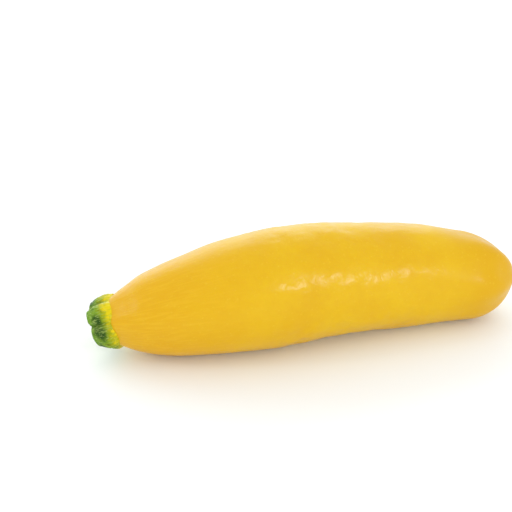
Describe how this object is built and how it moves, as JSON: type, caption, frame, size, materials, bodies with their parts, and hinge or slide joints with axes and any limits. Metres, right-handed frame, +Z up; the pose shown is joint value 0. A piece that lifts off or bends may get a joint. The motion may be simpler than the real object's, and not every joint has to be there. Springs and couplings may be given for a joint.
{
  "type": "yellow zucchini",
  "caption": "Whole yellow summer squash lying on its side: a smooth tapered fruit with a short lobed green stalk at its narrow end.",
  "frame": {"origin": "middle of the underside of the whole zucchini's bounding box, on the surface it lies on", "axes": "+X along the length towards the blossom end, with the stalk at -X; +Z up from the surface; +Y to the side that the fruit bows towards"},
  "size_m": [0.1908, 0.0538, 0.0507],
  "materials": {
    "skin": "satin",
    "stalk": "matte"
  },
  "bodies": {
    "root": {"fruit": "skin", "stem": "stalk"}
  },
  "joints": []
}
